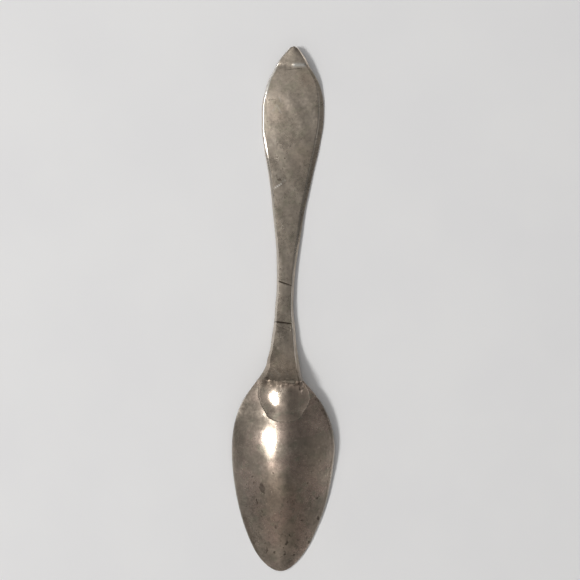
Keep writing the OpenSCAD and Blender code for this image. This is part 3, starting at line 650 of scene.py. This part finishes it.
# ---------------------------------------------------------------- solder
def sweep(name, sections):
    v = np.array(sections)
    m, n = v.shape[:2]
    f = []
    for i in range(m - 1):
        f += [(i * n + j, i * n + (j + 1) % n, (i + 1) * n + (j + 1) % n, (i + 1) * n + j) for j in range(n)]
    f.append(tuple(range(n - 1, -1, -1)))
    f.append(tuple((m - 1) * n + j for j in range(n)))
    return new_object(name, v.reshape(-1, 3), f)


def build_seam_solder():
    out = []
    for x in np.linspace(-3.2, 2.95, 75):
        k = min(1.0, (x + 3.24) / 5.6) * float(ease((2.97 - x) / 0.5))
        up, down = 0.05 + 0.5 * k, 0.05 + 0.8 * k
        q = np.linspace(-1, 1, 13)
        yy = -20.29 + np.where(q > 0, q * up, q * down)
        l, r = float(tongue_half(Y_NECK, -1)), float(tongue_half(Y_NECK, 1))
        base = []
        for y in yy:
            if y > -20.3:
                base.append(float(under_z(y) + s_t(y)))
            else:
                base.append(float(tongue_top(x / (l if x < 0 else r), np.array(x), np.array(y))))
        base = np.array(base)
        hump = 0.020 * k * (1 - q * q) * (1 + 0.25 * math.sin(2.7 * x) + 0.15 * math.sin(6.3 * x + 1))
        top = np.c_[np.full(13, x), yy, base + 0.012 + hump]
        low = np.c_[np.full(13, x), yy, base - 0.03 - 0.08 * np.sqrt(1 - q * q) * k][::-1]
        out.append(np.vstack([top, low]))
    ob = sweep("seam_bead", out)
    n = len(ob.data.vertices)
    q = np.tile(np.concatenate([np.linspace(-1, 1, 13), np.linspace(1, -1, 13)]), 75)
    xs = np.repeat(np.linspace(-3.2, 2.95, 75), 26)
    put_attribute(ob, "stain", 0.15 + 0.45 * np.abs(q) ** 5 + 0.15 * ease((xs - 1.0) / 1.0))
    put_attribute(ob, "speckle", np.full(n, 0.4))
    put_attribute(ob, "grime_and_painted_shade", np.full(n, 0.35))
    # lighter in the middle of the bead: a painted highlight
    put_attribute(ob, "tone", 0.42 + 0.12 * np.exp(-((xs + 0.3) / 0.8) ** 2))
    put_attribute(ob, "warm", np.full(n, 0.6))
    put_attribute(ob, "wear_and_painted_highlight", np.zeros(n))
    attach(ob, "root")
    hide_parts("seam_solder")
    return ob


def build_drop_solder():
    th = np.concatenate([np.linspace(-29.3, -22.2, 60)[::-1]])
    left = [(-float(tongue_half(y, -1)), y) for y in th]
    arc = [(-5.2 * math.cos(a), -29.3 - 2.68 * math.sin(a)) for a in np.linspace(0, math.pi, 90)[1:-1]]
    right = [(float(tongue_half(y, 1)), y) for y in th[::-1]]
    path = np.array(left + arc + right)
    d = np.gradient(path, axis=0)
    nrm = np.c_[d[:, 1], -d[:, 0]] / np.hypot(d[:, 0], d[:, 1])[:, None]
    out = []
    n = len(path)
    for i, (p, o) in enumerate(zip(path, nrm)):
        k = min(1.0, (i + 1) / 12, (n - i) / 12) * (1 + 0.15 * math.sin(0.35 * i) + 0.1 * math.sin(0.9 * i))
        pts = []
        for off, up in ((-0.12, -0.05), (0.30 * k, -0.03), (0.26 * k, 0.012), (0.16 * k, 0.035),
                        (0.06, 0.08 * k + 0.01), (0.0, 0.11 * k + 0.01), (-0.08, 0.10 * k)):
            q = p + off * o
            low = 1 - 0.8 * float(ease((q[0] + 1.0) / 4.0))
            pts.append((q[0], q[1], float(outer_z(q[0], q[1])) + (up * low if up > 0 else up)))
        out.append(pts)
    ob = sweep("tongue_fillet", out)
    m = len(ob.data.vertices)
    put_attribute(ob, "stain", np.outer(ease((0.5 - path[:, 0]) / 3), [0.6, 0.1, 0.1, 0.05, 0.2, 0.6, 0.7]))
    put_attribute(ob, "speckle", np.full(m, 0.2))
    put_attribute(ob, "grime_and_painted_shade", np.zeros(m))
    put_attribute(ob, "tone", np.full(m, 0.62))
    put_attribute(ob, "warm", np.full(m, 0.2))
    put_attribute(ob, "wear_and_painted_highlight", np.zeros(m))
    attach(ob, "root")
    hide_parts("drop_solder")
    return ob


# ---------------------------------------------------------------- materials
class Nodes:
    def __init__(self, name):
        self.mat = bpy.data.materials.new(name)
        self.mat.use_nodes = True
        self.t = self.mat.node_tree
        self.t.nodes.clear()

    def add(self, kind, **props):
        n = self.t.nodes.new(kind)
        for k, v in props.items():
            setattr(n, k, v)
        return n

    def link(self, a, b):
        self.t.links.new(a, b)

    def put(self, socket, value):
        if isinstance(value, bpy.types.NodeSocket):
            self.link(value, socket)
        else:
            socket.default_value = value

    def math(self, op, a, b=None, c=None, clamp=False):
        n = self.add("ShaderNodeMath", operation=op, use_clamp=clamp)
        for i, v in enumerate((a, b, c)):
            if v is not None:
                self.put(n.inputs[i], v)
        return n.outputs[0]

    def mix(self, fac, a, b, blend="MIX"):
        n = self.add("ShaderNodeMix", data_type="RGBA", blend_type=blend)
        self.put(n.inputs["Factor"], fac)
        self.put(n.inputs[6], a)
        self.put(n.inputs[7], b)
        return n.outputs[2]

    def ramp(self, value, lo, hi, a=0.0, b=1.0):
        n = self.add("ShaderNodeMapRange", interpolation_type="SMOOTHSTEP")
        self.put(n.inputs["Value"], value)
        n.inputs["From Min"].default_value, n.inputs["From Max"].default_value = lo, hi
        n.inputs["To Min"].default_value, n.inputs["To Max"].default_value = a, b
        return n.outputs[0]

    def noise(self, vec, scale, detail=3.0, rough=0.55, distort=0.0):
        n = self.add("ShaderNodeTexNoise")
        self.link(vec, n.inputs["Vector"])
        n.inputs["Scale"].default_value = scale
        n.inputs["Detail"].default_value = detail
        n.inputs["Roughness"].default_value = rough
        n.inputs["Distortion"].default_value = distort
        return n.outputs["Fac"]

    def attribute(self, name):
        return self.add("ShaderNodeAttribute", attribute_name=name).outputs["Fac"]

    def mapped(self, vec, scale=(1, 1, 1), turn=(0, 0, 0), shift=(0, 0, 0)):
        n = self.add("ShaderNodeMapping")
        self.link(vec, n.inputs["Vector"])
        n.inputs["Scale"].default_value = scale
        n.inputs["Rotation"].default_value = turn
        n.inputs["Location"].default_value = shift
        return n.outputs[0]


def col(r, g, b):
    return (r, g, b, 1.0)


def silver(name, base, pink, green, rough=0.27, lumps=0.0, mottle=1.0):
    k = Nodes(name)
    obj = k.add("ShaderNodeTexCoord").outputs["Object"]
    mm = k.mapped(obj, (1000, 1000, 1000))
    stain, speckle, grime_and_painted_shade = k.attribute("stain"), k.attribute("speckle"), k.attribute("grime_and_painted_shade")
    tone, warm, wear_and_painted_highlight = k.attribute("tone"), k.attribute("warm"), k.attribute("wear_and_painted_highlight")
    # slow drifts of tarnish colour
    big = k.noise(mm, 0.11, 2.0, 0.5, 0.4)
    mid = k.noise(k.mapped(mm, shift=(31, 7, 3)), 0.33, 3.0, 0.6)
    fine = k.noise(k.mapped(mm, shift=(5, 13, 9)), 1.3, 4.0, 0.65)
    grain = k.noise(mm, 5.0, 3.0, 0.7)
    c = k.mix(k.ramp(big, 0.42, 0.62), base, pink)
    c = k.mix(k.ramp(mid, 0.50, 0.70), c, green)
    cloud = k.noise(k.mapped(mm, shift=(17, 3, 21)), 0.42, 3.0, 0.6, 0.3)
    shade = k.math("MULTIPLY_ADD", fine, 0.7 * mottle, 1 - 0.35 * mottle)
    shade = k.math("MULTIPLY", shade, k.math("MULTIPLY_ADD", grain, 0.3, 0.85))
    shade = k.math("MULTIPLY", shade, k.math("MULTIPLY_ADD", cloud, 0.8 * mottle, 1 - 0.4 * mottle))
    c = k.mix(warm, c, k.mix(1.0, c, col(1.03, 0.95, 0.90), "MULTIPLY"))
    c = k.mix(1.0, c, k.math("MULTIPLY", shade, tone), "MULTIPLY")
    # pits and specks
    ragged = k.math("MULTIPLY_ADD", k.noise(k.mapped(mm, shift=(6, 28, 14)), 2.3, 3.0, 0.65), 0.9, -0.45)
    pit_a = k.add("ShaderNodeTexVoronoi", feature="F1")
    k.link(mm, pit_a.inputs["Vector"])
    pit_a.inputs["Scale"].default_value = 0.9
    pit_sel = k.ramp(k.noise(mm, 0.5, 2.0), 0.47, 0.58)
    pits = k.math("MULTIPLY", k.ramp(k.math("ADD", pit_a.outputs["Distance"], ragged), 0.20, 0.02), pit_sel)
    pit_b = k.add("ShaderNodeTexVoronoi", feature="F1")
    k.link(k.mapped(mm, shift=(3, 17, 1)), pit_b.inputs["Vector"])
    pit_b.inputs["Scale"].default_value = 2.0
    pits_b = k.math("MULTIPLY", k.ramp(k.math("ADD", pit_b.outputs["Distance"], ragged), 0.17, 0.0), k.ramp(k.noise(mm, 0.8, 2.0), 0.45, 0.57))
    pits = k.math("MULTIPLY", k.math("MAXIMUM", pits, pits_b), speckle)
    # fine scratches in several directions
    lines = None
    for i, (turn, sx, sy, w) in enumerate(((0.10, 2.2, 0.05, 0.010), (1.25, 2.6, 0.07, 0.009), (-0.7, 1.9, 0.06, 0.008), (0.45, 3.1, 0.09, 0.008))):
        v = k.mapped(k.mapped(mm, turn=(0, 0, turn), shift=(i * 11.0, i * 5.0, 0)), (sx, sy, 1))
        n = k.noise(v, 0.7, 1.5, 0.4)
        d = k.math("ABSOLUTE", k.math("SUBTRACT", n, 0.5))
        ln = k.ramp(d, w, 0.0)
        lines = ln if lines is None else k.math("MAXIMUM", lines, ln)
    line_sel = k.ramp(k.noise(k.mapped(mm, shift=(2, 2, 2)), 0.25, 2.0), 0.45, 0.62)
    lines = k.math("MULTIPLY", lines, line_sel)
    crisp = k.noise(k.mapped(mm, shift=(41, 23, 8)), 1.9, 4.0, 0.7)
    dark = k.ramp(k.math("ADD", stain, k.math("MULTIPLY_ADD", crisp, 0.9, -0.45)), 0.30, 0.72)
    dark = k.math("MULTIPLY", dark, k.math("MULTIPLY_ADD", fine, 0.5, 0.6))
    dark = k.math("MAXIMUM", dark, k.math("MULTIPLY", pits, 0.8), clamp=True)
    blotch = k.noise(k.mapped(mm, shift=(9, 33, 4)), 0.85, 4.0, 0.7, 0.6)
    c = k.mix(k.math("MULTIPLY", k.ramp(blotch, 0.50, 0.66), k.math("MULTIPLY", speckle, 0.62)), c, col(0.19, 0.165, 0.13))
    c = k.mix(k.math("MULTIPLY", grime_and_painted_shade, k.math("MULTIPLY_ADD", mid, 0.8, 0.5)), c, col(0.20, 0.165, 0.125))
    c = k.mix(dark, c, col(0.075, 0.058, 0.046))
    c = k.mix(k.math("MULTIPLY", lines, 0.18), c, col(0.74, 0.70, 0.63))
    # the attribute mixes towards near white: painted highlights and light wear marks
    bright = k.math("MULTIPLY", wear_and_painted_highlight, k.math("MULTIPLY_ADD", crisp, 1.2, 0.4), clamp=True)
    c = k.mix(bright, c, col(0.90, 0.87, 0.81))
    r = k.math("MULTIPLY_ADD", fine, 0.14, rough - 0.07)
    r = k.math("ADD", r, k.math("MULTIPLY", k.ramp(big, 0.35, 0.7), 0.05))
    r = k.math("ADD", r, k.math("MULTIPLY", dark, 0.25), clamp=True)
    h = k.math("MULTIPLY", fine, 0.0045 + 0.01 * lumps)
    h = k.math("ADD", h, k.math("MULTIPLY", grain, 0.0006))
    h = k.math("ADD", h, k.math("MULTIPLY", mid, 0.015))
    h = k.math("ADD", h, k.math("MULTIPLY", lines, -0.002))
    h = k.math("ADD", h, k.math("MULTIPLY", pits, -0.02))
    bump = k.add("ShaderNodeBump")
    bump.inputs["Strength"].default_value = 1.0
    bump.inputs["Distance"].default_value = 0.001
    k.link(h, bump.inputs["Height"])
    p = k.add("ShaderNodeBsdfPrincipled")
    p.inputs["Metallic"].default_value = 1.0
    k.link(c, p.inputs["Base Color"])
    k.link(r, p.inputs["Roughness"])
    k.link(bump.outputs[0], p.inputs["Normal"])
    out = k.add("ShaderNodeOutputMaterial")
    k.link(p.outputs[0], out.inputs["Surface"])
    return k.mat


def floor_material():
    k = Nodes("table")
    obj = k.add("ShaderNodeTexCoord").outputs["Object"]
    n = k.noise(obj, 30.0, 3.0, 0.5)
    c = k.mix(k.ramp(n, 0.3, 0.7), col(0.785, 0.785, 0.795), col(0.805, 0.805, 0.81))
    p = k.add("ShaderNodeBsdfPrincipled")
    k.link(c, p.inputs["Base Color"])
    p.inputs["Roughness"].default_value = 0.75
    p.inputs["Specular IOR Level"].default_value = 0.2
    out = k.add("ShaderNodeOutputMaterial")
    k.link(p.outputs[0], out.inputs["Surface"])
    return k.mat


m_handle = silver("silver_handle", col(0.62, 0.545, 0.455), col(0.612, 0.540, 0.456), col(0.57, 0.52, 0.42), 0.27)
m_bowl = silver("silver_bowl", col(0.61, 0.52, 0.43), col(0.61, 0.49, 0.415), col(0.55, 0.49, 0.395), 0.232, 0.0, 0.9)
m_heel = silver("silver_heel", col(0.60, 0.52, 0.435), col(0.60, 0.50, 0.42), col(0.54, 0.49, 0.40), 0.255, 0.2, 0.7)
m_solder = silver("silver_solder", col(0.58, 0.51, 0.43), col(0.58, 0.50, 0.42), col(0.54, 0.49, 0.41), 0.40, 0.3)

for ob, mat in ((build_bowl(), m_bowl), (build_handle(), m_handle), (build_tongue(), m_heel),
                (build_seam_solder(), m_solder), (build_drop_solder(), m_solder)):
    ob.data.materials.clear()
    ob.data.materials.append(mat)

# ---------------------------------------------------------------- floor, light
bpy.ops.mesh.primitive_circle_add(vertices=96, radius=3.0, fill_type="NGON", location=(0, 0, 0))
floor = bpy.context.object
floor.name = "table"
floor.data.materials.append(floor_material())


def area_light(name, azimuth, tilt, distance, size_x, size_y, radiance, glossy=True, colour=(1, 1, 1)):
    """azimuth: degrees from +X towards +Y; tilt: degrees from straight up."""
    a, t = math.radians(azimuth), math.radians(tilt)
    d = Vector((math.cos(a) * math.sin(t), math.sin(a) * math.sin(t), math.cos(t)))
    data = bpy.data.lights.new(name, "AREA")
    data.shape = "RECTANGLE"
    data.size, data.size_y = size_x, size_y
    data.energy = radiance * size_x * size_y * math.pi
    data.color = colour
    ob = bpy.data.objects.new(name, data)
    scene.collection.objects.link(ob)
    ob.location = Vector((0, -0.01, 0)) + d * distance
    ob.rotation_euler = d.to_track_quat("Z", "Y").to_euler()
    ob.visible_camera = False
    ob.visible_glossy = glossy
    return ob


# one lamp on the left: it lights the table, casts the shadow and shines on the dome
area_light("lamp", 178, 30, 1.2, 0.216, 0.216, 48, colour=(1.0, 0.99, 0.975))
# low pale card on the upper left, for the left bevel of the blade
area_light("left_card", 157, 74, 1.2, 0.30, 0.32, 0.9, colour=(1.0, 0.99, 0.98))
# fill that only the table sees
area_light("fill", 115, 22, 2.0, 2.2, 2.2, 0.67, glossy=False)


def room_light():
    """A soft room: pale on the left, a dark card just right of straight above."""
    world = bpy.data.worlds.new("studio")
    scene.world = world
    world.use_nodes = True
    t = world.node_tree
    t.nodes.clear()

    def node(kind, **props):
        n = t.nodes.new(kind)
        for a, b in props.items():
            setattr(n, a, b)
        return n

    def put(socket, v):
        if isinstance(v, bpy.types.NodeSocket):
            t.links.new(v, socket)
        else:
            socket.default_value = v

    def calc(op, a, b=0.0, clamp=False):
        n = node("ShaderNodeMath", operation=op, use_clamp=clamp)
        put(n.inputs[0], a)
        put(n.inputs[1], b)
        return n.outputs[0]

    def smooth(v, a, b):
        n = node("ShaderNodeMapRange", interpolation_type="SMOOTHSTEP")
        put(n.inputs["Value"], v)
        n.inputs["From Min"].default_value, n.inputs["From Max"].default_value = a, b
        return n.outputs[0]

    def curve(v, stops):
        n = node("ShaderNodeValToRGB")
        n.color_ramp.interpolation = "B_SPLINE"
        e = n.color_ramp.elements
        while len(e) < len(stops):
            e.new(0.5)
        for k, (pos, c) in zip(e, stops):
            k.position = pos
            k.color = (c[0], c[1], c[2], 1) if isinstance(c, tuple) else (c, c * 0.985, c * 0.965, 1)
        put(n.inputs[0], v)
        return n.outputs[0]

    def mix(f, a, b):
        n = node("ShaderNodeMix", data_type="RGBA")
        put(n.inputs["Factor"], f)
        put(n.inputs[6], a)
        put(n.inputs[7], b)
        return n.outputs[2]

    sep = node("ShaderNodeSeparateXYZ")
    put(sep.inputs[0], node("ShaderNodeTexCoord").outputs["Generated"])
    up = calc("MAXIMUM", calc("ADD", sep.outputs["Z"], 1.0), 0.4)
    hx = calc("DIVIDE", sep.outputs["X"], up)
    hy = calc("DIVIDE", sep.outputs["Y"], up)
    u = calc("MULTIPLY_ADD", hx, 0.5)
    u.node.inputs[2].default_value = 0.5
    across = curve(u, [(0.0, 0.23), (0.15, 0.235), (0.35, 0.295), (0.42, 0.36), (0.47, 0.38), (0.51, 0.27),
                       (0.54, 0.16), (0.57, 0.115), (0.70, 0.115), (0.75, 0.14), (0.82, 0.165), (1.0, 0.165)])
    plain = curve(u, [(0.0, 0.26), (0.35, 0.36), (0.46, 0.50), (0.54, 0.36), (0.65, 0.24), (1.0, 0.20)])
    above = curve(u, [(0.0, 0.17), (0.3, 0.22), (0.5, 0.31), (1.0, 0.25)])
    low = smooth(hy, -0.19, -0.25)
    high = smooth(hy, 0.22, 0.42)
    bg = node("ShaderNodeBackground")
    put(bg.inputs["Color"], mix(high, mix(low, across, plain), above))
    put(node("ShaderNodeOutputWorld").inputs["Surface"], bg.outputs[0])


room_light()

bpy.context.view_layer.update()
